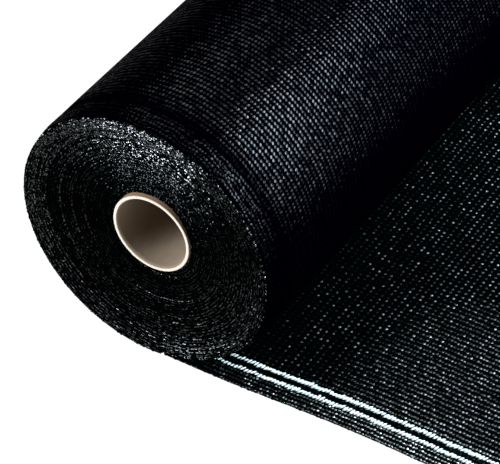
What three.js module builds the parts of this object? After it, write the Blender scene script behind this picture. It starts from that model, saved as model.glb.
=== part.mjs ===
// Roll of knitted shade cloth: black cloth wound on a paperboard core, with its loose end lying
// flat beside it. Millimetres, +Z up. The floor is z = 0, the roll's axis runs along Y above the
// origin, and the loose end lies towards +X.
import * as THREE from 'three';

// Cloth
const CLOTH_WIDTH = 1000;
const CLOTH_THICKNESS = 1.2;
const LOOSE_LENGTH = 420; // from under the roll's axis to the cut end
const LOOSE_DRIFT = 2; // the loose end lies this much further along Y than the outer turn

// Roll
const ROLL_RADIUS = 93.4; // the outer turn where the loose end leaves it
const FLAT_SPOT = 0.8; // how far the roll has settled on the floor
const PARTING_X = 8; // where the loose end parts from the outer turn
const PARTING_WIDTH = 1; // width of the small step there

// Paperboard core
const CORE_BORE_RADIUS = 25.4;
const CORE_WALL = 3.2;
const CORE_SETBACK = 8.9; // the core's faces behind the cloth's outer edges
const CORE_RIM_RADIUS = 0.6;

// Fits and facets
const GAP = 0.3;
const ROLL_STATIONS = 72;
const CORE_SEGMENTS = 48;
const RIM_STEPS = 3;
const BODY_BAYS = 10;
const LOOSE_STEPS_ALONG = 36;
const LOOSE_STEPS_ACROSS = 26;

// Wound end, from the outer turn in to the core: share of the wound depth, and how far the turns'
// edges sit back. The end is dished, with a shallow valley inside the slack outer turns.
const END_FACE = [
  { share: 0.0, setback: 0.0 },
  { share: 0.06, setback: 0.7 },
  { share: 0.13, setback: 1.6 },
  { share: 0.19, setback: 2.9 },
  { share: 0.25, setback: 4.6 },
  { share: 0.31, setback: 4.8 },
  { share: 0.45, setback: 6.0 },
  { share: 0.6, setback: 7.7 },
  { share: 0.75, setback: 9.5 },
  { share: 0.88, setback: 11.1 },
  { share: 1.0, setback: 12.0 },
];

// Outer turn's border, from the cloth's edge inwards: a rounded shoulder, the border band and the
// shallow groove beside it.
const BORDER = [
  { fromEdge: 0, drop: 1.8 },
  { fromEdge: 2, drop: 1.1 },
  { fromEdge: 5, drop: 0.45 },
  { fromEdge: 10, drop: 0 },
  { fromEdge: 18, drop: 0.1 },
  { fromEdge: 21.5, drop: 0.6 },
  { fromEdge: 25, drop: 0.1 },
  { fromEdge: 42, drop: 0 },
];

// Lobes by which the turns wander along the axis, in full at the core and not at all outside.
const END_WANDER = [
  { lobes: 2, height: 0.5, phase: 0.4 },
  { lobes: 5, height: 0.25, phase: 2.1 },
];

// Low swells of the loose end: middle, half-widths along X and Y, and height.
const SWELLS = [
  { x: 150, y: -430, alongX: 55, alongY: 120, height: 1.2 },
  { x: 235, y: -250, alongX: 80, alongY: 110, height: 2.2 },
  { x: 130, y: -120, alongX: 45, alongY: 160, height: 1.6 },
  { x: 320, y: 20, alongX: 70, alongY: 190, height: 2.6 },
  { x: 180, y: 190, alongX: 60, alongY: 150, height: 1.8 },
  { x: 300, y: 380, alongX: 75, alongY: 130, height: 2.3 },
];
const SWELL_START = 31; // the cloth lies flat under the roll and swells out beside it
const SWELL_FULL = 93;
const CURL_LENGTH = 95; // the cut end lifts a little, as cloth does off a roll
const CURL_HEIGHT = 5;
const EDGE_WANDER = 0.7;
const EDGE_WAVELENGTH = 190;
const CUT_WANDER = 1.5;
const CUT_WAVELENGTH = 420;

// Derived sizes
const CORE_RADIUS = CORE_BORE_RADIUS + CORE_WALL;
const CORE_LENGTH = CLOTH_WIDTH - 2 * CORE_SETBACK;
const AXIS_HEIGHT = ROLL_RADIUS - FLAT_SPOT;
const WINDING_RADIUS = CORE_RADIUS + GAP;
const LAYER = CLOTH_THICKNESS + GAP; // the outer turn's spiral rises by this over one turn

const clothMaterial = new THREE.MeshStandardMaterial({ color: 0x15161a, roughness: 0.5, metalness: 0 });
const coreMaterial = new THREE.MeshStandardMaterial({ color: 0xd8c6a8, roughness: 0.85, metalness: 0 });

function namedMesh(name, geometry, material) {
  const mesh = new THREE.Mesh(geometry, material);
  mesh.name = name;
  return mesh;
}

// Moves every vertex of a geometry to where place(vertex, index) puts it.
function reshape(geometry, place) {
  const position = geometry.getAttribute('position');
  const vertex = new THREE.Vector3();
  for (let index = 0; index < position.count; index++) {
    vertex.fromBufferAttribute(position, index);
    place(vertex, index);
    position.setXYZ(index, vertex.x, vertex.y, vertex.z);
  }
  geometry.computeVertexNormals();
  return geometry;
}

// A tube wall's closed section, with its four corners rounded off by quarter circles.
function coreSection() {
  const middle = CORE_BORE_RADIUS + CORE_WALL / 2;
  const reach = CORE_WALL / 2 - CORE_RIM_RADIUS;
  const half = CORE_LENGTH / 2 - CORE_RIM_RADIUS;
  const corners = [
    { radius: middle + reach, y: -half, start: -Math.PI / 2 },
    { radius: middle + reach, y: half, start: 0 },
    { radius: middle - reach, y: half, start: Math.PI / 2 },
    { radius: middle - reach, y: -half, start: Math.PI },
  ];
  const points = corners.flatMap(({ radius, y, start }) =>
    Array.from({ length: RIM_STEPS + 1 }, (_, step) => {
      const turn = start + (step / RIM_STEPS) * (Math.PI / 2);
      return new THREE.Vector2(
        radius + CORE_RIM_RADIUS * Math.cos(turn),
        y + CORE_RIM_RADIUS * Math.sin(turn),
      );
    }),
  );
  return [...points, points[0].clone()];
}

function coreTube() {
  const tube = namedMesh('core_tube', new THREE.LatheGeometry(coreSection(), CORE_SEGMENTS), coreMaterial);
  tube.position.z = AXIS_HEIGHT;
  return tube;
}

// The roll's closed section, from the core out along the near end, along the outer turn, in along
// the far end and back over the core. Each point has its share of the wound depth (0 on the outer
// turn, 1 on the core), its drop below the outer turn and its place along the axis.
function rollSection() {
  const half = CLOTH_WIDTH / 2;
  const edgeDrop = BORDER[0].drop;
  const nearEnd = END_FACE.slice(1)
    .reverse()
    .map(({ share, setback }) => ({ share, drop: edgeDrop, y: setback - half }));
  const nearBorder = BORDER.map(({ fromEdge, drop }) => ({ share: 0, drop, y: fromEdge - half }));
  const bays = (share, reach) =>
    Array.from({ length: BODY_BAYS - 1 }, (_, bay) => ({
      share,
      drop: 0,
      y: reach * ((2 * (bay + 1)) / BODY_BAYS - 1),
    }));
  const mirrored = (points) => points.map((point) => ({ ...point, y: -point.y })).reverse();
  const body = bays(0, half - BORDER.at(-1).fromEdge);
  const winding = bays(1, half - END_FACE.at(-1).setback).reverse();
  const loop = [
    ...nearEnd,
    ...nearBorder,
    ...body,
    ...mirrored(nearBorder),
    ...mirrored(nearEnd),
    ...winding,
  ];
  return [...loop, loop[0]];
}

// The wound cloth is a turned section whose outline is a spiral of one turn: it starts under the
// roll, climbs the far side from the loose end, and comes back one layer lower, over the loose end.
function clothRoll() {
  const section = rollSection();
  const startAngle = -Math.asin(PARTING_X / ROLL_RADIUS);
  const stepAngle = PARTING_WIDTH / ROLL_RADIUS;
  const outline = section.map(({ y }) => new THREE.Vector2(ROLL_RADIUS, y));
  const turned = new THREE.LatheGeometry(outline, ROLL_STATIONS + 1);
  const shaped = reshape(turned, (vertex, index) => {
    const station = Math.floor(index / section.length) % (ROLL_STATIONS + 1);
    const { share, drop, y } = section[index % section.length];
    const travel = station / ROLL_STATIONS;
    const angle = startAngle + travel * (2 * Math.PI - stepAngle);
    const outer = ROLL_RADIUS - LAYER * travel - drop;
    const radius = outer + (WINDING_RADIUS - outer) * share;
    const wander = END_WANDER.reduce(
      (sum, { lobes, height, phase }) => sum + height * Math.sin(lobes * angle + phase),
      0,
    );
    vertex.x = -radius * Math.sin(angle);
    vertex.y = y + share * wander;
    vertex.z = AXIS_HEIGHT - radius * Math.cos(angle);
    const under = vertex.x > PARTING_X + PARTING_WIDTH / 2 ? LAYER : 0;
    vertex.z = Math.max(vertex.z, under);
  });
  return namedMesh('cloth_roll', shaped, clothMaterial);
}

// Height of the loose end's underside over the floor: round swells, and the lift of the cut end.
function looseLift(x, y) {
  const swell = SWELLS.reduce((sum, s) => {
    const reach = ((x - s.x) / s.alongX) ** 2 + ((y - s.y) / s.alongY) ** 2;
    return sum + s.height * Math.exp(-reach);
  }, 0);
  const fromRoll = THREE.MathUtils.smoothstep(x, SWELL_START, SWELL_FULL);
  const curl = Math.max(0, (x - (LOOSE_LENGTH - CURL_LENGTH)) / CURL_LENGTH);
  return swell * fromRoll + CURL_HEIGHT * curl ** 2;
}

// The loose end is one thin sheet from where it parts from the outer turn to its cut end.
function looseEnd() {
  const start = PARTING_X + PARTING_WIDTH + GAP;
  const length = LOOSE_LENGTH - start;
  const sheet = new THREE.BoxGeometry(
    length,
    CLOTH_WIDTH,
    CLOTH_THICKNESS,
    LOOSE_STEPS_ALONG,
    LOOSE_STEPS_ACROSS,
    1,
  );
  const shaped = reshape(sheet, (vertex) => {
    const along = (vertex.x + length / 2) / length;
    const across = vertex.y / (CLOTH_WIDTH / 2);
    const cutWander = CUT_WANDER * Math.sin((2 * Math.PI * vertex.y) / CUT_WAVELENGTH);
    const x = start + (length + cutWander) * along;
    const edgeWander = EDGE_WANDER * Math.sin((2 * Math.PI * x) / EDGE_WAVELENGTH);
    const y = vertex.y + LOOSE_DRIFT + across * edgeWander;
    const z = vertex.z + CLOTH_THICKNESS / 2 + looseLift(x, y);
    vertex.set(x, y, z);
  });
  return namedMesh('loose_end', shaped, clothMaterial);
}

const shadeClothRoll = new THREE.Group();
shadeClothRoll.add(coreTube(), clothRoll(), looseEnd());

export default shadeClothRoll;
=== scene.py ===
"""Looks of a roll of knitted shade cloth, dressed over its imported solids.

Black polyethylene knit is wound on a paperboard core, and its loose end lies flat beside the roll. Each
surface is worked out with numpy in millimetres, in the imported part's own frame, and set into its mesh in
metres. The roll's axis runs along Y, the loose end lies towards +X and the floor is z = 0.
"""

import logging
import math
from collections.abc import Callable
from dataclasses import dataclass, field
from enum import Enum
from functools import partial

import bpy
import numpy as np
from bpy.types import Material, Node, NodeSocket, NodeTree, Object
from mathutils import Matrix, Quaternion, Vector


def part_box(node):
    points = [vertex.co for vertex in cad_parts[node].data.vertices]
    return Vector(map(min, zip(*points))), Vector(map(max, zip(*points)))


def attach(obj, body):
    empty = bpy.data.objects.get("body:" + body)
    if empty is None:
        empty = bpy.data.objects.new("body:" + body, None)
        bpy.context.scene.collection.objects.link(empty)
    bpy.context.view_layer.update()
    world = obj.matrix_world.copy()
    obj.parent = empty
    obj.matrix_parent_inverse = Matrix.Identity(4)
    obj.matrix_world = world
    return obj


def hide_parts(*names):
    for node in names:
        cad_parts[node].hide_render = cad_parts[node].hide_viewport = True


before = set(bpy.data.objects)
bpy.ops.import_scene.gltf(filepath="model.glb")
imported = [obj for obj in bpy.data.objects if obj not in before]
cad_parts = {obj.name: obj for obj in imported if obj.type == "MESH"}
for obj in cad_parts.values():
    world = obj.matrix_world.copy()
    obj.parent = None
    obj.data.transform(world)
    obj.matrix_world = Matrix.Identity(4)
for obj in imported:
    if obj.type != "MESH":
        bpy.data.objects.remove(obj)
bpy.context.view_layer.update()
BODY = "root"
MM = 0.001
TURN = 2 * math.pi
SHARP_ANGLE = math.radians(70)
UV_NAME = "knit"
LOG = logging.getLogger("shade_cloth_roll")

Array = np.ndarray
Pair = tuple[float, float]
Triple = tuple[float, float, float]
Row = tuple[float, ...]


class Slot(Enum):
    """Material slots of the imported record."""

    CLOTH = "cloth"
    CORE = "core"


class RollEnd(Enum):
    """The roll's two ends, each by its side of the middle."""

    NEAR = -1
    FAR = 1


def linear(colour: str) -> Row:
    """Turn an sRGB hex colour into linear RGBA.

    Args:
        colour: six hex digits after a hash sign.

    Returns:
        Red, green, blue and an alpha of one, in linear light.
    """
    channels = np.array([int(colour[start : start + 2], 16) for start in (1, 3, 5)]) / 255
    shaded = np.where(channels <= 0.04045, channels / 12.92, ((channels + 0.055) / 1.055) ** 2.4)
    return (*(float(channel) for channel in shaded), 1.0)


def smoothstep(value: Array, low: float, high: float) -> Array:
    """Rise from 0 at low to 1 at high along 3t^2 - 2t^3."""
    share = np.clip((value - low) / (high - low), 0, 1)
    return share * share * (3 - 2 * share)


@dataclass
class Surface:
    """A mesh as arrays.

    Attributes:
        points: places in millimetres, one row each.
        faces: arrays of point numbers, one row a face, each array with its own number of corners.
        corner_uv: a UV for every corner, in the same arrays as faces.
        marks: named numbers for every point, which materials read as attributes.
    """

    points: Array
    faces: list[Array]
    corner_uv: list[Array]
    marks: dict[str, Array] = field(default_factory=dict)

    def triangles(self) -> int:
        """Count the triangles that the faces come to."""
        return sum(len(part) * (part.shape[1] - 2) for part in self.faces)

    def turn_outward(self) -> None:
        """Reverse the faces where their tetrahedra to the origin sum to a negative volume."""
        volume = 0.0
        for part in self.faces:
            corners = self.points[part]
            for step in range(1, part.shape[1] - 1):
                across = np.cross(corners[:, step], corners[:, step + 1])
                volume += float(np.einsum("ij,ij->", corners[:, 0], across))
        if volume < 0:
            self.faces = [part[:, ::-1] for part in self.faces]
            self.corner_uv = [part[:, ::-1] for part in self.corner_uv]


def grid_surface(
    points: Array, uv: Array, wrap_rows: bool = False, wrap_columns: bool = False
) -> Surface:
    """Join a grid of points: a face has the corners (i, j), (i, j + 1), (i + 1, j + 1) and (i + 1, j).

    Args:
        points: rows by columns by three, in millimetres.
        uv: rows by columns by two, with one line more in each wrapped direction.
        wrap_rows: join the last row back to the first.
        wrap_columns: join the last column back to the first.

    Returns:
        The surface, with its points in row order.
    """
    rows, columns = points.shape[:2]
    row = np.arange(rows - 1 + wrap_rows)[:, None]
    column = np.arange(columns - 1 + wrap_columns)[None, :]
    steps = ((0, 0), (0, 1), (1, 1), (1, 0))
    faces = [((row + down) % rows) * columns + (column + over) % columns for down, over in steps]
    corner_uv = [uv[row + down, column + over] for down, over in steps]
    return Surface(
        points.reshape(-1, 3),
        [np.stack(faces, -1).reshape(-1, 4)],
        [np.stack(corner_uv, 2).reshape(-1, 4, 2)],
    )


def bead_surface(centres: Array, half_axes: Array) -> Surface:
    """Make a row of closed beads, each a sphere stretched along three half axes.

    A bead's point is its centre + a cos p + b sin p cos q + c sin p sin q, for its half axes a, b and c,
    with p from pole to pole and q once round.

    Args:
        centres: one place for each bead, in millimetres.
        half_axes: three half axes for each bead, as beads by three by three.

    Returns:
        All the beads as one surface, with UVs of a bead's number and the place from pole to pole.
    """
    around, rings = 8, 5
    polar = np.linspace(0, math.pi, rings + 2)[1:-1][:, None]
    turn = np.arange(around) * TURN / around
    ball = np.stack(
        [np.cos(polar) + 0 * turn, np.sin(polar) * np.cos(turn), np.sin(polar) * np.sin(turn)], -1
    ).reshape(-1, 3)
    ball = np.concatenate([ball, [[1.0, 0, 0], [-1.0, 0, 0]]])
    points = centres[:, None] + np.einsum("pk,nkx->npx", ball, half_axes)
    ring, spoke = np.arange(rings - 1)[:, None] * around, np.arange(around)
    after = (spoke + 1) % around
    sides = np.stack([ring + spoke, ring + after, ring + around + after, ring + around + spoke], -1)
    last = (rings - 1) * around
    first_cap = np.stack([np.full(around, rings * around), after, spoke], -1)
    last_cap = np.stack([np.full(around, rings * around + 1), last + spoke, last + after], -1)
    offset = np.arange(len(centres))[:, None, None] * len(ball)
    faces = [
        (sides.reshape(-1, 4) + offset).reshape(-1, 4),
        (np.concatenate([first_cap, last_cap]) + offset).reshape(-1, 3),
    ]
    number = np.repeat(np.arange(len(centres)) + 0.5, len(ball))
    place = np.stack([number, 0.5 + np.tile(ball[:, 0], len(centres)) / 2], -1)
    return Surface(points.reshape(-1, 3), faces, [place[part] for part in faces])


def add_piece(name: str, surface: Surface, material: Material) -> Object:
    """Put a surface into a mesh object that rides on the part's body.

    Args:
        name: the piece's name.
        surface: its points, faces, UVs and marks.
        material: its finish.

    Returns:
        The object, at the origin, unturned and unscaled.
    """
    surface.turn_outward()
    mesh = bpy.data.meshes.new(name)
    counts = np.concatenate([np.full(len(part), part.shape[1]) for part in surface.faces])
    corners = np.concatenate([part.ravel() for part in surface.faces]).astype(np.int32)
    mesh.vertices.add(len(surface.points))
    mesh.vertices.foreach_set("co", (surface.points * MM).astype(np.float32).ravel())
    mesh.loops.add(len(corners))
    mesh.loops.foreach_set("vertex_index", corners)
    mesh.polygons.add(len(counts))
    starts = np.concatenate([[0], np.cumsum(counts)[:-1]]).astype(np.int32)
    mesh.polygons.foreach_set("loop_start", starts)
    uv = np.concatenate([part.reshape(-1, 2) for part in surface.corner_uv]).astype(np.float32)
    mesh.update(calc_edges=True)
    mesh.uv_layers.new(name=UV_NAME).uv.foreach_set("vector", uv.ravel())
    for mark, numbers in surface.marks.items():
        attribute = mesh.attributes.new(mark, "FLOAT", "POINT")
        attribute.data.foreach_set("value", numbers.astype(np.float32))
    mesh.shade_smooth()
    mesh.set_sharp_from_angle(angle=SHARP_ANGLE)
    mesh.materials.append(material)
    piece = bpy.data.objects.new(name, mesh)
    bpy.context.scene.collection.objects.link(piece)
    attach(piece, BODY)
    LOG.info("%s: %d triangles", name, surface.triangles())
    return piece


def add_node(tree: NodeTree, kind: str, inputs: dict[str | int, object], **settings: object) -> Node:
    """Add one node to a tree with its settings and links.

    Args:
        tree: the tree that takes it.
        kind: the node's type, without the "ShaderNode" that each starts with.
        inputs: for its input sockets, by name or number: a value to set, an output socket to link, or a
            node whose first output is linked.
        settings: its attributes, by name.

    Returns:
        The node.
    """
    node = tree.nodes.new("ShaderNode" + kind)
    for name, value in settings.items():
        setattr(node, name, value)
    for key, value in inputs.items():
        source = value.outputs[0] if isinstance(value, Node) else value
        if isinstance(source, NodeSocket):
            tree.links.new(source, node.inputs[key])
        else:
            node.inputs[key].default_value = source
    return node


def new_material(name: str) -> tuple[Material, Callable[..., Node]]:
    """Make an empty node material.

    Args:
        name: its name.

    Returns:
        The material, and the function that adds nodes to it.
    """
    material = bpy.data.materials.new(name)
    material.use_nodes = True
    material.node_tree.nodes.clear()
    return material, partial(add_node, material.node_tree)


@dataclass(frozen=True)
class BlackFilament:
    """Black polyethylene monofilament, knitted: every stitch or loop is a small glossy bead.

    The beads have dark gaps round them and lean this way and that, so the cloth is black with rows of
    cool glints, uneven from one bead to the next. The piece's UV counts beads, so they follow the cloth.

    Attributes:
        name: the material's name.
        pitch_mm: spacing of the beads, across the cloth and along it.
        scatter: how far the beads lie out of their rows, from 0 to 1.
        half_size: half a bead's width and length, as shares of the spacing.
        bead_mm: how far a bead's middle stands over its rim.
        lean: slope by which beads lean at random, across and along.
        set_lean: slope by which all lean along the cloth, as stitches do that overlap one way.
        strand_mm: spacing of the filaments, drawn coarser than the real 0.2 mm so that they show.
        strand_height_mm: how far the filaments stand.
        gloss: gloss of the dullest and of the brightest bead.
        gloss_rise: shares of a bead's height between which its gloss comes up.
        rarity: power that makes bright beads rarer than dull ones.
        roughness: spread of a bead's glint.
        index: refractive index of its skin.
        colour: the pigment.
        colour_roughness: spread of the light that the pigment gives back.
    """

    name: str
    pitch_mm: Pair
    scatter: float = 0.1
    half_size: Pair = (0.36, 0.41)
    bead_mm: float = 0.09
    lean: Pair = (0.04, 0.1)
    set_lean: float = 0.0
    strand_mm: float = 0.7
    strand_height_mm: float = 0.04
    gloss: Pair = (0.019, 0.15)
    gloss_rise: Pair = (0.05, 0.35)
    rarity: float = 1.3
    roughness: float = 0.17
    index: float = 1.8
    colour: str = "#000101"
    colour_roughness: float = 0.6

    def material(self) -> Material:
        """Build the material.

        Returns:
            A material that reads the UV map and four marks: "curl" and "swing", slopes across and along
            that a piece adds to its beads, "matt", which takes their gloss away, for matt stitches and as
            painted shade, and "pair", which takes it from every second one.
        """
        material, add = new_material(self.name)
        across, along = self.pitch_mm
        uv = add("UVMap", {}, uv_map=UV_NAME)
        middle = add("VectorMath", {0: uv, 1: (0.5, 0.5, 0.0)}, operation="SUBTRACT")
        cells = add(
            "TexVoronoi",
            {"Vector": middle, "Scale": 1.0, "Randomness": self.scatter},
            voronoi_dimensions="2D",
            feature="F1",
        )
        centre = cells.outputs["Position"]
        place = add("VectorMath", {0: middle, 1: centre}, operation="SUBTRACT")
        chance = add("TexWhiteNoise", {"Vector": centre}, noise_dimensions="2D").outputs
        # A bead is a low dome over the middle of its cell.
        spread = (1 / self.half_size[0], 1 / self.half_size[1], 0.0)
        reach = add("VectorMath", {0: place, 1: spread}, operation="MULTIPLY")
        square = add("VectorMath", {0: reach, 1: reach}, operation="DOT_PRODUCT").outputs["Value"]
        dome = add("Math", {0: 1.0, 1: square}, operation="SUBTRACT", use_clamp=True)
        # Chance leans each bead, and the marks add their slopes.
        span = (2 * self.lean[0] * across, 2 * self.lean[1] * along, 0.0)
        least = (-self.lean[0] * across, (self.set_lean - self.lean[1]) * along, 0.0)
        slope = add("VectorMath", {0: chance["Color"], 1: span, 2: least}, operation="MULTIPLY_ADD")
        for mark, step in (("curl", (-across, 0.0, 0.0)), ("swing", (0.0, along, 0.0))):
            marked = add("Attribute", {}, attribute_name=mark).outputs["Vector"]
            slope = add("VectorMath", {0: marked, 1: step, 2: slope}, operation="MULTIPLY_ADD")
        tilt = add("VectorMath", {0: slope, 1: place}, operation="DOT_PRODUCT").outputs["Value"]
        bead = add("Math", {0: dome, 1: self.bead_mm, 2: tilt}, operation="MULTIPLY_ADD")
        grain = {"Vector": uv, "Scale": along / self.strand_mm, "Detail": 2.0}
        strands = add("TexNoise", grain, noise_dimensions="2D").outputs["Fac"]
        height = add("Math", {0: strands, 1: self.strand_height_mm, 2: bead}, operation="MULTIPLY_ADD")
        bump = add("Bump", {"Height": height, "Strength": 1.0, "Distance": MM})
        # Gloss differs from bead to bead, and none is left in the gaps or where the marks take it away.
        uneven = add("Math", {0: chance["Value"], 1: self.rarity}, operation="POWER")
        shine = add("MapRange", {"Value": uneven, "To Min": self.gloss[0], "To Max": self.gloss[1]})
        foot, crest = self.gloss_rise
        dome_shine = add("MapRange", {"Value": dome, "From Min": foot, "From Max": crest})
        # Half of a bead's number along the cloth, and a quarter more, has a fraction over a half at
        # every second bead.
        count = {0: centre, 1: (0.0, 0.5, 0.0), 2: (0.0, 0.25, 0.0)}
        halves = add("VectorMath", count, operation="MULTIPLY_ADD")
        fraction = add("SeparateXYZ", {0: add("VectorMath", {0: halves}, operation="FRACTION")})
        second = add("Math", {0: fraction.outputs["Y"], 1: 0.5}, operation="GREATER_THAN")
        pair = add("Attribute", {}, attribute_name="pair").outputs["Fac"]
        # The matt mark holds matt stitches and painted shade alike.
        matt = add("Attribute", {}, attribute_name="matt").outputs["Fac"]
        taken = add("Math", {0: second, 1: pair, 2: matt}, operation="MULTIPLY_ADD")
        kept = add("Math", {0: 1.0, 1: taken}, operation="SUBTRACT", use_clamp=True)
        masked = add("Math", {0: dome_shine, 1: kept}, operation="MULTIPLY")
        shader = add(
            "BsdfPrincipled",
            {
                "Base Color": linear(self.colour),
                "Roughness": self.colour_roughness,
                "Specular IOR Level": 0.0,
                "Normal": bump,
                "Coat Weight": add("Math", {0: shine, 1: masked}, operation="MULTIPLY"),
                "Coat Roughness": self.roughness,
                "Coat IOR": self.index,
                "Coat Normal": bump,
            },
        )
        add("OutputMaterial", {"Surface": shader})
        return material


@dataclass(frozen=True)
class WhiteYarn:
    """White polyethylene monofilament, several ends together in one pillar stitch.

    Slanting satin strokes overlap like a rope, with a soft grey-green painted shade where one dips under
    the next.

    Attributes:
        colour: the stroke's top.
        shade: the dip between strokes, a painted shade, which the filaments' streaks also show.
        dip: how much of the painted shade comes at a stroke's ends.
        shade_rise: where the shade starts and where it is full.
        filament_mm: spacing of the filaments in a stroke.
        filament_height_mm: how far they stand.
        bump: strength of their relief.
        roughness: spread of their gloss.
        index: refractive index of polyethylene.
    """

    colour: str = "#bcc3c1"
    shade: str = "#46524f"
    dip: float = 0.7
    shade_rise: Pair = (0.5, 1.0)
    filament_mm: float = 0.55
    filament_height_mm: float = 0.2
    bump: float = 0.6
    roughness: float = 0.42
    index: float = 1.54

    def material(self) -> Material:
        """Build the material.

        Returns:
            A material that reads Object coordinates, and the UV map along each stroke.
        """
        material, add = new_material("white_polyethylene_yarn")
        place = add("TexCoord", {}).outputs["Object"]
        grain = {"Vector": place, "Scale": 1 / (self.filament_mm * MM), "Detail": 2.0}
        streaks = add("TexNoise", grain).outputs["Fac"]
        # The place along a stroke, from -1 to 1, is squared, so the painted shade grows towards both ends.
        run = {0: add("UVMap", {}, uv_map=UV_NAME), 1: (0.0, 2.0, 0.0), 2: (0.0, -1.0, 0.0)}
        ends = add("VectorMath", run, operation="MULTIPLY_ADD")
        square = add("VectorMath", {0: ends, 1: ends}, operation="DOT_PRODUCT").outputs["Value"]
        mixed = add(
            "Math", {0: square, 1: self.dip, 2: streaks}, operation="MULTIPLY_ADD", use_clamp=True
        )
        start, full = self.shade_rise
        share = add("MapRange", {"Value": mixed, "From Min": start, "From Max": full})
        blend = {"Factor": share, "A": linear(self.colour), "B": linear(self.shade)}
        relief = {"Height": streaks, "Strength": self.bump, "Distance": self.filament_height_mm * MM}
        shader = add(
            "BsdfPrincipled",
            {
                "Base Color": add("Mix", blend, data_type="RGBA").outputs["Result"],
                "Roughness": self.roughness,
                "IOR": self.index,
                "Normal": add("Bump", relief),
            },
        )
        add("OutputMaterial", {"Surface": shader})
        return material


@dataclass(frozen=True)
class Paperboard:
    """Spiral-wound kraft paperboard, sawn to length.

    The walls are matt brown paper with a faint grain, the outer ply is darker and the cut rim is pale.

    Attributes:
        wall: the paper's colour.
        grain: the darker fibres in it.
        outside: the outer ply's colour.
        rim: the cut edge's colour.
        fibre_mm: size of the fibre flecks.
        fibre_scale: the pattern's scale along the core, under one so that the flecks are long.
        fibre_blend: how strongly finer flecks show in coarser ones.
        fibre_height_mm: how far the fibres stand.
        bump: strength of their relief.
        roughness: spread of the paper's gloss.
    """

    wall: str = "#7f6d58"
    grain: str = "#685846"
    outside: str = "#745639"
    rim: str = "#ada294"
    fibre_mm: float = 2.5
    fibre_scale: float = 0.35
    fibre_blend: float = 0.65
    fibre_height_mm: float = 0.15
    bump: float = 0.5
    roughness: float = 0.85

    def material(self) -> Material:
        """Build the material.

        Returns:
            A material that reads Object coordinates and the marks "rim" and "outside".
        """
        material, add = new_material("kraft_paperboard")
        place = add("TexCoord", {}).outputs["Object"]
        drawn = add("Mapping", {"Vector": place, "Scale": (1.0, self.fibre_scale, 1.0)})
        flecks = {"Scale": 1 / (self.fibre_mm * MM), "Detail": 5.0, "Roughness": self.fibre_blend}
        fibres = add("TexNoise", {"Vector": drawn, **flecks}).outputs["Fac"]
        blend = {"Factor": fibres, "A": linear(self.wall), "B": linear(self.grain)}
        tint = add("Mix", blend, data_type="RGBA").outputs["Result"]
        for mark, colour in (("outside", self.outside), ("rim", self.rim)):
            share = add("Attribute", {}, attribute_name=mark).outputs["Fac"]
            blend = {"Factor": share, "A": tint, "B": linear(colour)}
            tint = add("Mix", blend, data_type="RGBA").outputs["Result"]
        relief = {"Height": fibres, "Strength": self.bump, "Distance": self.fibre_height_mm * MM}
        looks = {"Base Color": tint, "Roughness": self.roughness, "Normal": add("Bump", relief)}
        add("OutputMaterial", {"Surface": add("BsdfPrincipled", looks)})
        return material


@dataclass(frozen=True)
class Knit:
    """Sizes of the knitted cloth, in millimetres.

    A wale is a column of stitches along the cloth and a course is a row across it. The wales of the
    border stand closer, and the first of them is the edge itself.
    """

    width: float
    thickness: float = 1.2
    wale_pitch: float = 4.0
    course_pitch: float = 2.53
    course_skew: float = 0.026
    border_width: float = 12.0
    border_wales: float = 3.5
    first_wale: float = 0.5
    columns_per_wale: int = 4

    def last_wale(self) -> float:
        """Give the wale number at the far edge."""
        body = (self.width - 2 * self.border_width) / self.wale_pitch
        return self.first_wale + 2 * self.border_wales + body

    def columns(self) -> Array:
        """Give the wale numbers of the columns of points across the cloth."""
        steps = round((self.last_wale() - self.first_wale) * self.columns_per_wale)
        return np.linspace(self.first_wale, self.last_wale(), steps + 1)

    def from_edge(self, wale: Array) -> Array:
        """Find how far a wale is from the near edge: border wales, then even wales, then border wales.

        Args:
            wale: wale numbers.

        Returns:
            Distances from the near edge, in millimetres.
        """
        inner = self.first_wale + self.border_wales
        knots = [self.first_wale, inner, self.last_wale() - self.border_wales, self.last_wale()]
        places = [0, self.border_width, self.width - self.border_width, self.width]
        return np.interp(wale, knots, places)

    def ridge(self, wale: Array) -> Array:
        """Give a wale's round back, 1 on its crest and 0 between wales: (1 - cos 2 pi w) / 2."""
        return (1 - np.cos(TURN * wale)) / 2

    def course(self, along: Array, wale: Array) -> Array:
        """Give course numbers: the length over the pitch, with a slight skew from wale to wale."""
        return along / self.course_pitch + self.course_skew * wale


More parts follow.
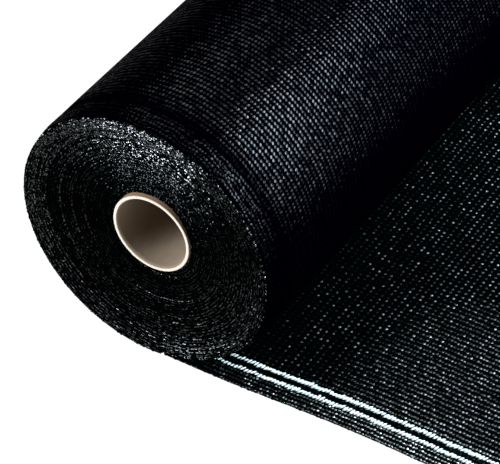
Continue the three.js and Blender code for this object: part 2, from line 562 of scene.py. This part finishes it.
@dataclass(frozen=True)
class RollForm:
    """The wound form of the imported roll, in millimetres.

    The outer turn is a spiral of one turn. It starts under the roll, goes round by the side away from
    the loose end and over the top, and comes back one layer lower over the loose end.
    """

    half_width: float
    axis_height: float
    radius: float
    core_radius: float
    layer: float = 1.5
    winding_gap: float = 0.3
    parting_x: float = 8.0
    parting_width: float = 1.0

    @classmethod
    def of_frame(cls) -> "RollForm":
        """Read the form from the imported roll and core.

        Returns:
            The form, whose radius is the roll's top over its axis and half of the spiral's rise.
        """
        roll_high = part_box("cloth_roll")[1] / MM
        core_low, core_high = (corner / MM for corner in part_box("core_tube"))
        axis_height = (core_low.z + core_high.z) / 2
        return cls(
            half_width=roll_high.y,
            axis_height=axis_height,
            radius=roll_high.z - axis_height + cls.layer / 2,
            core_radius=(core_high.x - core_low.x) / 2,
        )

    def angle(self, travel: Array) -> Array:
        """Turn travel along the outer turn, 0 to 1, into the angle from straight down, by -X first."""
        start = -math.asin(self.parting_x / self.radius)
        return start + travel * (TURN - self.parting_width / self.radius)

    def outer(self, travel: Array) -> Array:
        """Give the outer turn's radius, which falls by one layer over the turn."""
        return self.radius - self.layer * travel

    def place(self, travel: Array, radius: Array, y: Array) -> Array:
        """Find points of the roll: x = -r sin a and z = axis - r cos a, kept over what lies below.

        Args:
            travel: share of the outer turn.
            radius: distance from the axis.
            y: place along the axis.

        Returns:
            Points, with x, y and z last.
        """
        angle = self.angle(travel)
        x = -radius * np.sin(angle)
        z = self.axis_height - radius * np.cos(angle)
        under = np.where(x > self.parting_x + self.parting_width / 2, self.layer, 0.0)
        return np.stack(np.broadcast_arrays(x, y, np.maximum(z, under)), -1)


@dataclass
class OuterTurn:
    """The outer turn of the wound cloth, and the looped edges at both ends of it."""

    form: RollForm
    knit: Knit
    stations: int = 96
    wale_relief: float = 0.12
    # The inner wall that closes the turn: how far it lies under the edge, and in from it.
    wall: float = 4.0
    wall_setback: float = 6.0
    # From the cloth's edge inwards: a rounded shoulder, the border band and a shallow groove.
    border_from_edge: Row = (0, 2, 5, 10, 18, 21.5, 25, 42)
    border_drop: Row = (1.8, 1.1, 0.45, 0, 0.1, 0.6, 0.1, 0)
    # How far the border's stitches lie out of their rows, as a share of the spacing.
    ragged_from_edge: Row = (0, 14, 24, 32)
    ragged_share: Row = (0.3, 0.3, 0.15, 0.0)
    ragged_seed: int = 1
    # Gloss taken away from either edge inwards: most of it in the groove, and up to half towards the
    # middle, which is painted shade that dims the far part of the sheen.
    matt_from_edge: Row = (0, 6, 15, 20, 23, 29, 36, 70, 130, 210)
    matt_share: Row = (0.36, 0.4, 0.52, 0.96, 0.96, 0.56, 0, 0, 0.3, 0.5)
    # The looped edge: half a bead's length, width and height, how they vary, and its setback.
    edge_bead: Triple = (1.3, 0.65, 0.55)
    edge_uneven: Pair = (0.8, 1.15)
    edge_setback: float = 0.6
    edge_jitter: float = 0.25
    edge_seed: int = 21

    def drop(self, from_edge: Array) -> Array:
        """Give how far the outer turn lies under its full radius at a distance from either edge."""
        return np.interp(from_edge, self.border_from_edge, self.border_drop)

    def shell(self) -> Surface:
        """Work out the outer turn as a closed shell.

        A point's radius is the spiral's, less the border's drop and the valleys between wales, at every
        column across the cloth and every station round the roll. Two columns of the inner wall close it.

        Returns:
            The shell, with UVs in wales and courses and the mark "matt".
        """
        wale = self.knit.columns()
        from_edge = self.knit.from_edge(wale)
        nearest = np.minimum(from_edge, self.knit.width - from_edge)
        depth = self.drop(nearest) + self.wale_relief * (1 - self.knit.ridge(wale))
        inner = np.array([self.knit.width - self.wall_setback, self.wall_setback])
        depth = np.concatenate([depth, [self.drop(0) + self.wall] * 2])
        y = np.concatenate([from_edge, inner]) - self.form.half_width
        travel = np.linspace(0, 1, self.stations + 1)[:, None]
        points = self.form.place(travel, self.form.outer(travel) - depth, y)
        lap = np.append(travel, 1.0)[:, None]
        along = self.form.radius * (self.form.angle(lap) - self.form.angle(0.0))
        wales = np.concatenate([wale, [wale[-1], wale[0], wale[0]]])
        uv = np.stack(np.broadcast_arrays(wales, self.knit.course(along, wales)), -1)
        worn = np.interp(nearest, self.ragged_from_edge, self.ragged_share)[:, None]
        chance = np.random.default_rng(self.ragged_seed)
        shift = chance.normal(0, 1, (len(lap), int(wale[-1]) + 1, 2))
        uv[:, : len(wale)] += worn * shift[:, wale.astype(int)]
        shell = grid_surface(points, uv, wrap_rows=True, wrap_columns=True)
        matt = np.append(np.interp(nearest, self.matt_from_edge, self.matt_share), [1.0, 1.0])
        shell.marks["matt"] = np.broadcast_to(matt, points.shape[:2]).ravel()
        return shell

    def looped_edge(self, end: RollEnd, seed: int) -> Surface:
        """Work out the outer turn's edge: one bead for each stitch, along the spiral.

        Args:
            end: which end.
            seed: seed of the beads' uneven sizes.

        Returns:
            The beads.
        """
        chance = np.random.default_rng(seed)
        beads = int(TURN * self.form.radius / self.knit.course_pitch)
        travel = (np.arange(beads) + 0.5) / beads
        radius = self.form.outer(travel) - self.drop(0)
        y = end.value * (self.form.half_width - self.edge_setback)
        y = y + chance.normal(0, self.edge_jitter, beads)
        centres = self.form.place(travel, radius, y)
        angle = self.form.angle(travel)
        zero = np.zeros(beads)
        forward = np.stack([-np.cos(angle), zero, np.sin(angle)], -1)
        outward = np.stack([-np.sin(angle), zero, -np.cos(angle)], -1)
        across = np.stack([zero, zero + 1, zero], -1)
        size = chance.uniform(*self.edge_uneven, (beads, 3)) * self.edge_bead
        axes = np.stack([forward, across, outward], 1) * size[:, :, None]
        return bead_surface(centres, axes)

    def build(self, black: Material, edges: Material) -> None:
        """Add the outer turn and its looped edges.

        Args:
            black: finish of the turn.
            edges: finish of its edges.
        """
        turn = add_piece("outer_turn", self.shell(), black)
        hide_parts("cloth_roll")
        for number, end in enumerate(RollEnd):
            loops = self.looped_edge(end, self.edge_seed + number)
            add_piece(f"roll_edge_{end.name.lower()}", loops, edges)


@dataclass
class WoundEnds:
    """The dished ends of the winding, where the edges of the turns show as rings.

    A row of as many numbers as end_share runs from the outer turn to the core.
    """

    form: RollForm
    knit: Knit
    # How far the outer turn's edge lies under its full radius.
    edge_drop: float
    columns: int = 720
    slab_depth: float = 14.0
    seed: int = 11
    # Share of the wound depth, and how far the edges sit back there.
    end_share: Row = (0, 0.06, 0.13, 0.19, 0.25, 0.31, 0.45, 0.6, 0.75, 0.88, 1)
    end_setback: Row = (0, 0.7, 1.6, 2.9, 4.6, 4.8, 6.0, 7.7, 9.5, 11.1, 12)
    # Lobes by which the turns wander along the axis, in full at the core: count, height and phase.
    wander: tuple[Triple, ...] = ((1, 1.6, 0.0), (2, 0.5, 0.4), (5, 0.25, 2.1))
    # A ring from the core outward: it steps up at its inner side and falls away like a shingle.
    ring_place: Row = (0, 0.16, 0.45, 0.75)
    ring_height: Row = (0, 1, 0.72, 0.38)
    # The rings' spacing, their height, how unevenly they stand, and the stitches' height on them.
    ring_pitch: float = 2.15
    ring_relief: float = 1.0
    ring_jitter: float = 0.3
    bead_relief: float = 0.2
    # The glossy loops along the rings: spacing across and along, two across to a ring.
    loop_size: Pair = (1.075, 2.2)
    # The slack outer turns lie flatter than the tight ones, and over the core they lean back by this
    # slope.
    end_relief: Row = (0.6, 0.65, 0.7, 0.9, 1, 1, 1, 1, 1, 1, 1)
    slack_lean: float = 0.65
    # How the edges curl away from the axis, and how matt they are deeper in the dish, which is painted
    # shade there.
    end_curl: Row = (0.2, 0.25, 0.28, 0.3, 0.3, 0.3, 0.3, 0.3, 0.3, 0.3, 0.3)
    painted_dish_shade: Row = (0, 0, 0, 0, 0, 0.05, 0.2, 0.45, 0.6, 0.65, 0.65)
    # The edges are painted duller towards the loose end, as shade on that side: by how much, and the
    # middle of that side.
    side_shade_share: float = 0.78
    side_shade_angle: float = 4.45
    # One side shows the rings best, in painted light and shade: the middle of that side, the cosines
    # between which it gives way to the plain side, its dark lines of painted shade over each ring, and the
    # share of its gloss that the plain side has, which paints that side darker.
    lined_angle: float = 5.9
    lined_limits: Pair = (-0.5, 0.5)
    ring_shade_line: Row = (0, 0, 0.6, 1)
    plain_share: Row = (0.65, 0.65, 0.65, 0.65, 0.65, 0.65, 0.6, 0.46, 0.38, 0.34, 0.34)
    # On that side the loops look longer by this share, and shorter on the plain side.
    loop_stretch: float = 0.4
    # There the edges don't curl, and lean upward by this slope, turned by the angle to the loose end.
    end_lift: Row = (0.36, 0.38, 0.4, 0.32, 0.16, 0.1, 0.1, 0.1, 0.1, 0.1, 0.1)
    lift_turn: float = 0.35

    def face(self, end: RollEnd, seed: int) -> Surface:
        """Work out one end of the winding as a closed slab.

        The turns are drawn as rings coarser than the real turns of about 0.5 mm, so that they show.
        Along the axis a point stands at the dished end's setback, less the ring's round back, its
        jitter and the stitches along it, whose heights are drawn at random.

        Args:
            end: which end.
            seed: seed of its random heights.

        Returns:
            The slab, with UVs in loops and the marks "matt", "curl" and "swing".
        """
        chance = np.random.default_rng(seed)
        winding_radius = self.form.core_radius + self.form.winding_gap
        depth = self.form.radius - winding_radius
        rings = round(depth / self.ring_pitch)
        within = np.tile(self.ring_place, rings)
        ring = np.repeat(np.arange(rings), len(self.ring_place))
        share = 1 - ((ring + within) / rings)[:, None]
        travel = np.linspace(0, 1, self.columns)[None, :]
        outer = self.form.outer(travel) - self.edge_drop
        radius = outer + (winding_radius - outer) * share
        stitches = np.round(TURN * radius.mean(1) / self.knit.course_pitch).astype(int)
        count = travel * stitches[:, None] + chance.random(rings)[ring][:, None]
        heights = chance.random((rings, stitches.max() + 2)) ** 2
        stitch = count.astype(int) % heights.shape[1]
        bead = np.sin(math.pi * (count % 1.0)) * heights[ring[:, None], stitch]
        back = np.tile(self.ring_height, rings)[:, None]
        jitter = chance.normal(0, self.ring_jitter, rings)[ring][:, None]
        angle = self.form.angle(travel)
        wander = sum(height * np.sin(lobes * angle + phase) for lobes, height, phase in self.wander)
        setback = np.interp(share, self.end_share, self.end_setback) + share * wander
        standing = np.interp(share, self.end_share, self.end_relief)
        relief = back * (self.ring_relief + self.bead_relief * bead) - self.ring_relief + jitter
        y = end.value * (self.form.half_width - setback + standing * relief)
        front = self.form.place(travel, radius, y)
        behind = end.value * (self.form.half_width - self.slab_depth) + 0 * travel
        back_wall = [self.form.place(travel, row, behind) for row in (radius[-1:], radius[:1])]
        points = np.concatenate([front, *back_wall])
        loops = np.concatenate([ring + within, rings + np.arange(3)])
        loops = loops * self.ring_pitch / self.loop_size[0]
        lap = np.append(travel, travel[0, -1] + 1 / self.columns)
        turns = lap - self.loop_stretch * np.sin(self.form.angle(lap) - self.lined_angle) / TURN
        turns = turns * round(TURN * self.form.radius / self.loop_size[1])
        uv = np.stack(np.broadcast_arrays(loops[:, None], turns), -1)
        slab = grid_surface(points, uv, wrap_rows=True, wrap_columns=True)
        depths = np.concatenate([share[:, 0], [0.0, 1.0]])[:, None]
        gaps = np.append(np.tile(self.ring_shade_line, rings), [1.0, 1.0])[:, None]
        slab.marks = self.marks(depths, gaps, angle)
        return slab

    def marks(self, depths: Array, gaps: Array, angle: Array) -> dict[str, Array]:
        """Work out how the edges of a wound end shine and lean.

        As painted shade, the gloss falls by the cube of a cosine towards the loose end, by the dark lines
        between rings on the side that shows them, on the plain side and deeper in the dish. The slack
        turns lean back by the square of a cosine over the core.

        Args:
            depths: share of the wound depth, one for each row of points.
            gaps: how far each row belongs to a dark line of painted shade.
            angle: the angle of each column.

        Returns:
            The marks "matt", "curl" and "swing", a number for each point.
        """
        at_depth = partial(np.interp, depths, self.end_share)
        # Painted shade: the gloss is taken away on the side towards the loose end.
        side_shade = self.side_shade_share * np.maximum(0, np.cos(angle - self.side_shade_angle)) ** 3
        lined = smoothstep(np.cos(angle - self.lined_angle), *self.lined_limits)
        plain = at_depth(self.plain_share)
        shine = (plain + (1 - plain) * lined) * (1 - gaps * lined) * (1 - side_shade)
        matt = 1 - (1 - at_depth(self.painted_dish_shade)) * shine
        slack = 1 - at_depth(self.end_relief)
        lean = self.slack_lean * slack * np.maximum(0, -np.cos(angle)) ** 2
        lift = at_depth(self.end_lift) * lined
        curl = at_depth(self.end_curl) * (1 - lined) + lean
        curl -= lift * np.cos(angle - self.lift_turn)
        swing = -lift * np.sin(angle - self.lift_turn)
        return {"matt": matt.ravel(), "curl": curl.ravel(), "swing": swing.ravel()}

    def build(self, edges: Material) -> None:
        """Add both wound ends.

        Args:
            edges: their finish.
        """
        for number, end in enumerate(RollEnd):
            face = self.face(end, self.seed + number)
            add_piece(f"wound_end_{end.name.lower()}", face, edges)


@dataclass
class LooseEnd:
    """The loose end: a sheet laid out beside the roll, its looped edges and its two white wales."""

    form: RollForm
    knit: Knit
    start: float
    length: float
    drift: float = 2.0
    rows: int = 70
    wale_relief: float = 0.2
    # At its edges the sheet thins to this share of its thickness.
    edge_share: float = 0.7
    # Off the roll the cloth isn't stretched, so its courses lie closer by this share.
    relaxed: float = 0.92
    # In and beside the border every stitch shines alike, at a small loss. Elsewhere every second one is
    # duller by the last share.
    even_from_edge: Pair = (40.0, 200.0)
    even_along: Pair = (60.0, 220.0)
    even_loss: float = 0.15
    pair_share: float = 0.33
    # Painted shade of the roll: beside it the gloss starts at this share, and it is full further along and
    # in the border.
    # The change comes nearer the roll by the last slope, away from the near edge.
    shade_share: float = 0.55
    shade_along: Pair = (55.0, 170.0)
    shade_slope: float = 0.25
    # Away from the near edge the stitches beside the roll lean away from it by this slope.
    lean: float = 0.22
    lean_along: Pair = (90.0, 190.0)
    lean_from_edge: Pair = (140.0, 300.0)
    # Low swells: middle along X and Y, half-widths along X and Y, and height.
    swells: tuple[Row, ...] = (
        (150, -430, 55, 120, 1.2),
        (235, -250, 80, 110, 2.2),
        (130, -120, 45, 160, 1.6),
        (320, 20, 70, 190, 2.6),
        (180, 190, 60, 150, 1.8),
        (300, 380, 75, 130, 2.3),
    )
    swell_rise: Pair = (31.0, 93.0)
    curl_length: float = 95.0
    curl_height: float = 5.0
    edge_wander: float = 0.7
    edge_wavelength: float = 190.0
    cut_wander: float = 1.5
    cut_wavelength: float = 420.0
    # Gloss taken away from the near edge inwards: none in the border, nearly all by the white wales.
    matt_from_edge: Row = (0, 11, 12, 24, 25, 28, 40, 120, 300)
    matt_share: Row = (0, 0, 0.98, 0.98, 0.5, 0.64, 0.7, 0.714, 0.81)
    # The white wales: their places from the near edge, and how far along the sheet they start.
    white_from_edge: Pair = (14.0, 22.0)
    white_start: float = 20.0
    white_seed: int = 41
    # A stroke's half length, width and height, how they vary, its slant and the rise of its tip.
    stroke_half: Triple = (2.4, 1.05, 0.8)
    stroke_uneven: Pair = (0.75, 1.15)
    stroke_slant: float = 0.9
    stroke_rise: float = 0.08
    # The first strokes have this share of their size. From the second share of the length it is full.
    stroke_least: float = 0.55
    stroke_full: float = 0.2
    # How far the strokes stray across the cloth, in height and in slant.
    stroke_jitter: Triple = (0.3, 0.08, 0.18)
    # The looped edges: half a bead's length, width and height, how they vary, and their inset.
    edge_bead: Triple = (1.35, 0.85, 0.6)
    edge_uneven: Pair = (0.8, 1.15)
    edge_inset: float = 0.3
    edge_jitter: float = 0.2
    edge_seed: int = 31

    @classmethod
    def of_frame(cls, form: RollForm, knit: Knit) -> "LooseEnd":
        """Read the sheet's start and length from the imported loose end."""
        low, high = (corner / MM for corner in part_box("loose_end"))
        return cls(form, knit, low.x, high.x - low.x - cls.cut_wander)

    def lift(self, x: Array, y: Array) -> Array:
        """Find the underside's height: round swells that start beside the roll, and the cut end's curl.

        Args:
            x: places along the sheet.
            y: places across it.

        Returns:
            Heights over the floor.
        """
        swell = sum(
            height * np.exp(-(((x - mid_x) / half_x) ** 2) - ((y - mid_y) / half_y) ** 2)
            for mid_x, mid_y, half_x, half_y, height in self.swells
        )
        curl_start = self.start + self.length - self.curl_length
        curl = np.maximum(0, (x - curl_start) / self.curl_length) ** 2
        return swell * smoothstep(x, *self.swell_rise) + self.curl_height * curl

    def place(self, along: Array, from_edge: Array) -> tuple[Array, Array]:
        """Find the sheet's x and y: a rectangle whose cut end and edges wander in slow waves.

        Args:
            along: share of the length.
            from_edge: distance from the near edge.

        Returns:
            The places along X and along Y.
        """
        across = from_edge - self.form.half_width
        cut = self.cut_wander * np.sin(TURN * across / self.cut_wavelength)
        x = self.start + (self.length + cut) * along
        edge = self.edge_wander * np.sin(TURN * x / self.edge_wavelength)
        return x, across + self.drift + across / self.form.half_width * edge

    def top(self, along: Array, from_edge: Array, height: Array) -> Array:
        """Give points at a height over the sheet's underside, with x, y and z last."""
        x, y = self.place(along, from_edge)
        return np.stack(np.broadcast_arrays(x, y, self.lift(x, y) + height), -1)

    def sheet(self) -> Surface:
        """Work out the sheet as a closed loop across the cloth, carried along its length.

        The upper side has the wales' round backs, the underside is plain, with one point for each wale,
        and each cut end is closed wale by wale by a fan of triangles.

        Returns:
            The sheet, with UVs in wales and courses and the marks "matt", "pair" and "swing".
        """
        knit = self.knit
        wale = knit.columns()
        per_wale = knit.columns_per_wale
        below = wale[::per_wale][::-1]
        loop = np.concatenate([wale, below])
        rise = knit.thickness - self.wale_relief * (1 - knit.ridge(wale))
        rise[[0, -1]] = knit.thickness * self.edge_share
        height = np.concatenate([rise, np.zeros(len(below))])
        along = np.linspace(0, 1, self.rows)[:, None]
        from_edge = knit.from_edge(loop)
        points = self.top(along, from_edge, height)
        wales = np.append(loop, loop[0])
        course = knit.course(self.length * along / self.relaxed, wales)
        uv = np.stack(np.broadcast_arrays(wales, course), -1)
        sheet = grid_surface(points, uv, wrap_columns=True)
        count = len(loop)
        first = np.arange(0, len(wale) - 1, per_wale)
        under = count - 1 - np.arange(len(first))
        fans = [np.stack([under, first + step, first + step + 1], -1) for step in range(per_wale)]
        fans.append(np.stack([under, first + per_wale, under - 1], -1))
        cap = np.concatenate(fans)
        far_cap = cap + (self.rows - 1) * count
        flat_uv = uv[:, :-1].reshape(-1, 2)
        # The fans wind as the grid's faces do at its last row, so those at its first row are reversed.
        sheet.faces.append(np.concatenate([cap[:, ::-1], far_cap]))
        sheet.corner_uv.append(flat_uv[sheet.faces[-1]])
        sheet.marks = self.marks(points[:, :, 0], from_edge)
        return sheet

    def marks(self, x: Array, from_edge: Array) -> dict[str, Array]:
        """Work out how the sheet's stitches shine and lean.

        The gloss left by the distance from the near edge is lessened where every stitch shines alike and,
        as painted shade of the roll, beside it, where the stitches away from that edge also lean.

        Args:
            x: places along X, one for each point, in rows and columns.
            from_edge: distance from the near edge, one for each column.

        Returns:
            The marks "matt", "pair" and "swing", a number for each point.
        """
        even = np.interp(from_edge, self.even_from_edge, (1, 0)) * smoothstep(x, *self.even_along)
        # Painted shade: the gloss is lowered beside the roll, where its shadow falls.
        full = smoothstep(x + self.shade_slope * from_edge, *self.shade_along)
        full = np.where(from_edge < self.knit.border_width, 1.0, full)
        shade = self.shade_share + (1 - self.shade_share) * full
        matt = np.interp(from_edge, self.matt_from_edge, self.matt_share)
        matt = 1 - (1 - matt) * (1 - self.even_loss * even) * shade
        pair = self.pair_share * (1 - even)
        beside = (1 - smoothstep(x, *self.lean_along)) * smoothstep(from_edge, *self.lean_from_edge)
        swing = -self.lean * beside
        return {"matt": matt.ravel(), "pair": pair.ravel(), "swing": swing.ravel()}

    def white_wale(self, from_edge: float, seed: int) -> Surface:
        """Work out one white wale: slanting strokes, each a long bead that overlaps the next.

        Args:
            from_edge: the wale's distance from the near edge.
            seed: seed of the strokes' uneven sizes and slants.

        Returns:
            The strokes.
        """
        chance = np.random.default_rng(seed)
        pitch = self.knit.course_pitch
        strokes = int((self.length - self.white_start) / pitch)
        along = (self.white_start + (np.arange(strokes) + 0.5) * pitch) / self.length
        aside, aloft, askew = (chance.normal(0, jitter, strokes) for jitter in self.stroke_jitter)
        centres = self.top(along, from_edge + aside, self.knit.thickness + aloft)
        slant = self.stroke_slant + askew
        zero = np.zeros(strokes)
        forward = np.stack([np.cos(slant), np.sin(slant), zero + self.stroke_rise], -1)
        across = np.stack([-np.sin(slant), np.cos(slant), zero], -1)
        upward = np.stack([zero, zero, zero + 1], -1)
        size = chance.uniform(*self.stroke_uneven, (strokes, 3)) * self.stroke_half
        grown = smoothstep(along, 0, self.stroke_full)[:, None]
        size *= self.stroke_least + (1 - self.stroke_least) * grown
        axes = np.stack([forward, across, upward], 1) * size[:, :, None]
        return bead_surface(centres, axes)

    def looped_edge(self, from_edge: float, seed: int) -> Surface:
        """Work out one edge of the sheet: one bead for each stitch.

        Args:
            from_edge: the edge's distance from the near edge.
            seed: seed of the beads' uneven sizes.

        Returns:
            The beads.
        """
        chance = np.random.default_rng(seed)
        beads = int(self.length / self.knit.course_pitch)
        along = (np.arange(beads) + 0.5) / beads
        edge = from_edge + chance.normal(0, self.edge_jitter, beads)
        centres = self.top(along, edge, self.knit.thickness / 2)
        size = chance.uniform(*self.edge_uneven, (beads, 3)) * self.edge_bead
        return bead_surface(centres, np.eye(3)[None] * size[:, :, None])

    def build(self, black: Material, edges: Material, white: Material) -> None:
        """Args:
            black: finish of the sheet.
            edges: finish of its looped edges.
            white: finish of the white wales.
        """
        sheet = add_piece("loose_sheet", self.sheet(), black)
        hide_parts("loose_end")
        for number, end in enumerate(RollEnd):
            edge = self.form.half_width + end.value * (self.form.half_width - self.edge_inset)
            loops = self.looped_edge(edge, self.edge_seed + number)
            add_piece(f"sheet_edge_{end.name.lower()}", loops, edges)
        for number, from_edge in enumerate(self.white_from_edge):
            wale = self.white_wale(from_edge, self.white_seed + number)
            add_piece(f"white_wale_{number + 1}", wale, white)


@dataclass
class PaperCore:
    """The spiral-wound paperboard core, a tube with worn, slightly woolly rims."""

    form: RollForm
    half_length: float
    bore_radius: float = 25.4
    rim_radius: float = 0.6
    # The worn inner edge: share of the wall that it takes, and its depth.
    worn_share: float = 0.4
    worn_depth: float = 2.2
    # Shares of the wall, from the bore: where the outer ply starts, and where the pale rim comes in.
    ply_share: float = 0.85
    pale_share: Pair = (0.25, 0.42)
    # How unevenly the plies stand, where the rim is more than this pale.
    ply_jitter: float = 0.06
    ply_pale: float = 0.3
    seed: int = 51
    segments: int = 144
    rim_rows: int = 12
    wall_rows: int = 24

    @classmethod
    def of_frame(cls, form: RollForm) -> "PaperCore":
        """Read the core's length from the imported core."""
        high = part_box("core_tube")[1] / MM
        return cls(form, high.y)

    def tube(self) -> Surface:
        """Work out the tube: a closed section of two walls and two rounded rims, carried round the axis.

        Across the wall a rim is flat, and falls away as a square law: deep at its worn inner edge and a
        little at its outer one. Its plies stand unevenly.

        Returns:
            The tube, with the marks "rim" and "outside".
        """
        chance = np.random.default_rng(self.seed)
        share = np.linspace(0, 1, self.rim_rows)
        worn = np.clip(1 - share / self.worn_share, 0, 1) ** 2 * self.worn_depth
        in_ply = np.clip((share - self.ply_share) / (1 - self.ply_share), 0, 1)
        worn += in_ply**2 * self.rim_radius
        ply = smoothstep(share, self.ply_share, 1)
        pale = smoothstep(share, *self.pale_share) * (1 - ply)
        bore, outside = self.bore_radius, self.form.core_radius
        across = bore + (outside - bore) * share
        wall = np.linspace(-1, 1, self.wall_rows + 2)[1:-1]
        reach = self.half_length - self.worn_depth
        face = self.half_length - worn
        radius = np.concatenate([across, 0 * wall + outside, across[::-1], 0 * wall + bore])
        y = np.concatenate([-face, wall * reach, face[::-1], -wall * reach])
        on_rim = np.concatenate([pale, 0 * wall, pale[::-1], 0 * wall])
        outer = np.concatenate([ply, 0 * wall + 1, ply[::-1], 0 * wall])
        angle = np.arange(self.segments) * TURN / self.segments
        uneven = chance.normal(0, self.ply_jitter, (len(radius), self.segments))
        along = y[:, None] + uneven * (on_rim > self.ply_pale)[:, None]
        x = radius[:, None] * np.cos(angle)
        z = self.form.axis_height + radius[:, None] * np.sin(angle)
        points = np.stack([x, along, z], -1)
        uv = np.zeros((len(radius) + 1, self.segments + 1, 2))
        tube = grid_surface(points, uv, wrap_rows=True, wrap_columns=True)
        for mark, numbers in (("rim", on_rim), ("outside", outer)):
            tube.marks[mark] = np.repeat(numbers, self.segments)
        return tube

    def build(self, paper: Material) -> None:
        """Add the core in its finish."""
        tube = add_piece("core_paperboard", self.tube(), paper)
        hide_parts("core_tube")


@dataclass(frozen=True)
class Softbox:
    """One soft oblong light, in metres.

    Attributes:
        name: its name.
        direction: from what it lights towards the light.
        distance: from what it lights.
        size: its width and height.
        power: in watts.
        colour: its tint.
        turn: how far it is turned about the line to what it lights, in degrees.
    """

    name: str
    direction: Triple
    distance: float
    size: Pair
    power: float
    colour: str
    turn: float = 0.0

    def build(self, target: Vector) -> None:
        """Add the light.

        Args:
            target: the place that it faces.
        """
        lamp = bpy.data.lights.new(self.name, "AREA")
        lamp.shape = "RECTANGLE"
        lamp.size, lamp.size_y = self.size
        lamp.energy = self.power
        lamp.color = linear(self.colour)[:3]
        toward = Vector(self.direction).normalized()
        box = bpy.data.objects.new(self.name, lamp)
        box.location = target + toward * self.distance
        turned = Quaternion((0, 0, 1), math.radians(self.turn))
        box.rotation_euler = (toward.to_track_quat("Z", "Y") @ turned).to_euler()
        bpy.context.scene.collection.objects.link(box)


@dataclass(frozen=True)
class Studio:
    """A pale floor, soft lights and the camera, in metres and degrees."""

    floor_size: float = 60.0
    floor_height: float = -0.0004
    floor_colour: str = "#505050"
    floor_roughness: float = 0.9
    floor_light: str = "#ffffff"
    ambient: float = 0.01
    floor_glow: float = 1.0
    target: Triple = (0.1, -0.32, 0.08)
    boxes: tuple[Softbox, ...] = (
        Softbox("back_softbox", (0.659, 0.416, 0.627), 0.72, (0.2, 0.8), 32, "#dcf1ff", -60),
        Softbox("front_softbox", (-0.466, -0.841, 0.276), 2.2, (0.9, 0.5), 115, "#ebf4ff"),
        Softbox("left_softbox", (-0.33, 0.52, 0.79), 2.2, (1.2, 1.2), 26, "#eaf6f6"),
        Softbox("top_softbox", (0.33, 0.4, 0.855), 2.2, (0.9, 0.9), 17, "#fafaf4"),
        Softbox("side_softbox", (0.8, 0.59, 0.1), 1.6, (0.6, 0.5), 13, "#e8f2ff"),
    )
    eye: Triple = (0.7852, -1.5444, 1.2128)
    pan: float = 34.0
    tilt: float = 40.52
    roll: float = -2.26
    lens: float = 199.03
    sensor: float = 36.0

    def build(self) -> None:
        """Add the floor, the lights and the camera."""
        self.lay_floor()
        world = bpy.data.worlds.new("studio_air")
        world.use_nodes = True
        air = world.node_tree.nodes["Background"].inputs
        air["Strength"].default_value = self.ambient
        air["Color"].default_value = (1, 1, 1, 1)
        bpy.context.scene.world = world
        bpy.context.scene.view_settings.view_transform = "Standard"
        for box in self.boxes:
            box.build(Vector(self.target))
        self.place_camera()

    def lay_floor(self) -> None:
        """Add the floor, a plain pale sweep that isn't part of the object."""
        half, z = self.floor_size / 2, self.floor_height
        corners = [(-half, -half, z), (half, -half, z), (half, half, z), (-half, half, z)]
        mesh = bpy.data.meshes.new("floor")
        mesh.from_pydata(corners, [], [(0, 1, 2, 3)])
        material, add = new_material("white_paper_sweep")
        shader = add(
            "BsdfPrincipled",
            {
                "Base Color": linear(self.floor_colour),
                "Roughness": self.floor_roughness,
                "Specular IOR Level": 0.0,
                "Emission Color": linear(self.floor_light),
                "Emission Strength": self.floor_glow,
            },
        )
        add("OutputMaterial", {"Surface": shader})
        mesh.materials.append(material)
        floor = bpy.data.objects.new("floor", mesh)
        bpy.context.scene.collection.objects.link(floor)

    def place_camera(self) -> None:
        """Add the camera: pan and tilt aim it, and roll turns it about its own axis."""
        pan, tilt, roll = (math.radians(angle) for angle in (self.pan, self.tilt, self.roll))
        level = Vector((math.cos(pan), math.sin(pan), 0))
        ahead = Vector((-math.sin(pan), math.cos(pan), 0))
        forward = math.cos(tilt) * ahead - math.sin(tilt) * Vector((0, 0, 1))
        upright = level.cross(forward)
        right = math.cos(roll) * level + math.sin(roll) * upright
        up = math.cos(roll) * upright - math.sin(roll) * level
        lens = bpy.data.cameras.new("camera")
        lens.lens = self.lens
        lens.sensor_width = self.sensor
        camera = bpy.data.objects.new("camera", lens)
        turn = Matrix((right, up, -forward)).transposed().to_4x4()
        camera.matrix_world = Matrix.Translation(Vector(self.eye)) @ turn
        bpy.context.scene.collection.objects.link(camera)
        bpy.context.scene.camera = camera


def main() -> None:
    """Build the studio and the roll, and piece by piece."""
    logging.basicConfig(level=logging.INFO, format="%(name)s: %(message)s")
    form = RollForm.of_frame()
    knit = Knit(width=2 * form.half_width)
    # The roll shows the cloth's smooth outside, the loose end its inside, whose stitches stand more, and
    # the edges show loops alone.
    pitch = (knit.wale_pitch, knit.course_pitch)
    outside = BlackFilament("black_knit_outside", pitch, colour="#000001").material()
    inside = BlackFilament(
        "black_knit_inside",
        (knit.wale_pitch, knit.course_pitch * LooseEnd.relaxed),
        scatter=0.25,
        half_size=(0.29, 0.41),
        bead_mm=0.1,
        lean=(0.09, 0.22),
        set_lean=-0.15,
        gloss=(0.36, 1.0),
        rarity=1.0,
        roughness=0.28,
        index=2.2,
    ).material()
    edges = BlackFilament(
        "black_knit_edges",
        WoundEnds.loop_size,
        scatter=0.45,
        half_size=(0.38, 0.45),
        bead_mm=0.03,
        lean=(0.25, 0.16),
        set_lean=0.045,
        gloss=(0.0, 1.0),
        rarity=2.0,
        roughness=0.25,
        index=2.3,
    ).material()
    Studio().build()
    PaperCore.of_frame(form).build(Paperboard().material())
    turn = OuterTurn(form, knit)
    turn.build(outside, edges)
    WoundEnds(form, knit, turn.drop(0)).build(edges)
    LooseEnd.of_frame(form, knit).build(inside, edges, WhiteYarn().material())


if __name__ == "__main__":
    main()
